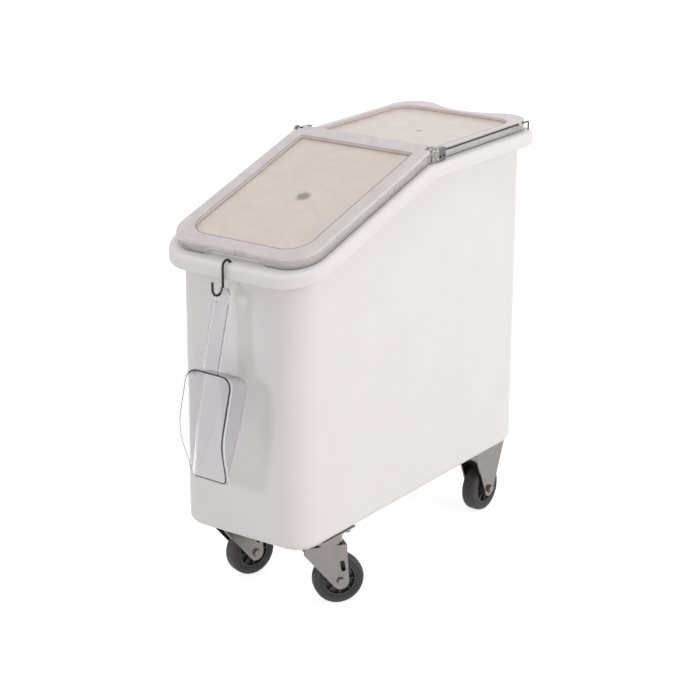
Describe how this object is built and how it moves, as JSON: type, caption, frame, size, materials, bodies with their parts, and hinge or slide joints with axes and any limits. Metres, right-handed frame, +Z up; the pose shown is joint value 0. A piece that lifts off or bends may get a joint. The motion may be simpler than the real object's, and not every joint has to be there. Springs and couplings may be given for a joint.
{
  "type": "ingredient bin",
  "caption": "Wheeled slant-front ingredient bin with a sliding, tipping clear front lid, a lift-off rear lid and a hanging scoop.",
  "frame": {"origin": "on the floor under the middle of the tub's plan, level with the undersides of the wheels", "axes": "+Z up, -Y is the front with the sloping lid, +X is the right side seen from the front"},
  "size_m": [0.307, 0.7896, 0.742],
  "materials": {
    "tub_plastic": "satin moulded polyethylene",
    "clear_plastic": "clear glossy polycarbonate",
    "scoop_plastic": "clear glossy polycarbonate",
    "wire_steel": "dark polished wire",
    "zinc_steel": "zinc plated, satin",
    "bearing_steel": "polished",
    "hub_plastic": "satin",
    "tyre_rubber": "matt"
  },
  "bodies": {
    "bin": {"tub": "tub_plastic", "caster_bolts": "zinc_steel", "caster_washers": "zinc_steel", "caster_nuts": "zinc_steel", "swivel_plate_left": "zinc_steel", "kingpin_left": "zinc_steel", "fixed_fork_left": "zinc_steel", "fixed_axle_left": "zinc_steel", "fixed_axle_nut_left": "zinc_steel", "fixed_sleeve_left": "zinc_steel", "swivel_plate_right": "zinc_steel", "kingpin_right": "zinc_steel", "fixed_fork_right": "zinc_steel", "fixed_axle_right": "zinc_steel", "fixed_axle_nut_right": "zinc_steel", "fixed_sleeve_right": "zinc_steel"},
    "rear_cover": {"rear_lid": "clear_plastic", "guide_rod_left": "wire_steel", "guide_rod_right": "wire_steel"},
    "lid_sliders": {"rod_slider_left": "clear_plastic", "knuckle_left": "clear_plastic", "hinge_pin_left": "wire_steel", "rod_slider_right": "clear_plastic", "knuckle_right": "clear_plastic", "hinge_pin_right": "wire_steel", "slider_screws": "wire_steel"},
    "front_cover": {"front_lid": "clear_plastic"},
    "hook": {"s_hook": "wire_steel"},
    "hanging_scoop": {"scoop": "scoop_plastic"},
    "swivel_left": {"swivel_fork_left": "zinc_steel", "swivel_balls_left": "bearing_steel", "swivel_axle_left": "zinc_steel", "swivel_axle_nut_left": "zinc_steel", "swivel_sleeve_left": "zinc_steel"},
    "swivel_wheel_left": {"swivel_hub_left": "hub_plastic", "swivel_tyre_left": "tyre_rubber"},
    "fixed_wheel_left": {"fixed_hub_left": "hub_plastic", "fixed_tyre_left": "tyre_rubber"},
    "swivel_right": {"swivel_fork_right": "zinc_steel", "swivel_balls_right": "bearing_steel", "swivel_axle_right": "zinc_steel", "swivel_axle_nut_right": "zinc_steel", "swivel_sleeve_right": "zinc_steel"},
    "swivel_wheel_right": {"swivel_hub_right": "hub_plastic", "swivel_tyre_right": "tyre_rubber"},
    "fixed_wheel_right": {"fixed_hub_right": "hub_plastic", "fixed_tyre_right": "tyre_rubber"}
  },
  "joints": [
    {"name": "rear_lid_lift", "type": "slide", "parent": "bin", "child": "rear_cover", "axis": [0, 0, 1], "range_m": [0, 0.12]},
    {"name": "front_lid_slide", "type": "slide", "parent": "rear_cover", "child": "lid_sliders", "axis": [0, 1, 0], "range_m": [0, 0.14]},
    {"name": "front_lid_tip", "type": "hinge", "parent": "lid_sliders", "child": "front_cover", "pos_m": [0, 0.01603, 0.73816], "axis": [-1, 0, 0], "range_deg": [0, 105]},
    {"name": "hook_lift", "type": "slide", "parent": "bin", "child": "hook", "axis": [0, -0.2974, 0.9548], "range_m": [0, 0.04]},
    {"name": "scoop_swing", "type": "hinge", "parent": "hook", "child": "hanging_scoop", "pos_m": [-0.0035, -0.376, 0.5604], "axis": [0, 1, 0], "range_deg": [-25, 25]},
    {"name": "swivel_turn_left", "type": "hinge", "parent": "bin", "child": "swivel_left", "pos_m": [-0.091, -0.2235, 0.12], "axis": [0, 0, 1], "continuous": true},
    {"name": "swivel_turn_right", "type": "hinge", "parent": "bin", "child": "swivel_right", "pos_m": [0.091, -0.2235, 0.12], "axis": [0, 0, 1], "continuous": true},
    {"name": "swivel_wheel_spin_left", "type": "hinge", "parent": "swivel_left", "child": "swivel_wheel_left", "pos_m": [-0.0842, -0.20258, 0.0435], "axis": [0.9511, -0.309, 0], "continuous": true},
    {"name": "swivel_wheel_spin_right", "type": "hinge", "parent": "swivel_right", "child": "swivel_wheel_right", "pos_m": [0.10469, -0.20628, 0.0435], "axis": [0.7826, -0.6225, 0], "continuous": true},
    {"name": "fixed_wheel_spin_left", "type": "hinge", "parent": "bin", "child": "fixed_wheel_left", "pos_m": [-0.0876, 0.271, 0.0435], "axis": [1, 0, 0], "continuous": true},
    {"name": "fixed_wheel_spin_right", "type": "hinge", "parent": "bin", "child": "fixed_wheel_right", "pos_m": [0.0876, 0.271, 0.0435], "axis": [1, 0, 0], "continuous": true}
  ],
  "couplings": [
    {"joint": "front_lid_tip", "follows": "front_lid_slide", "rad_per_m": 13.09}
  ]
}
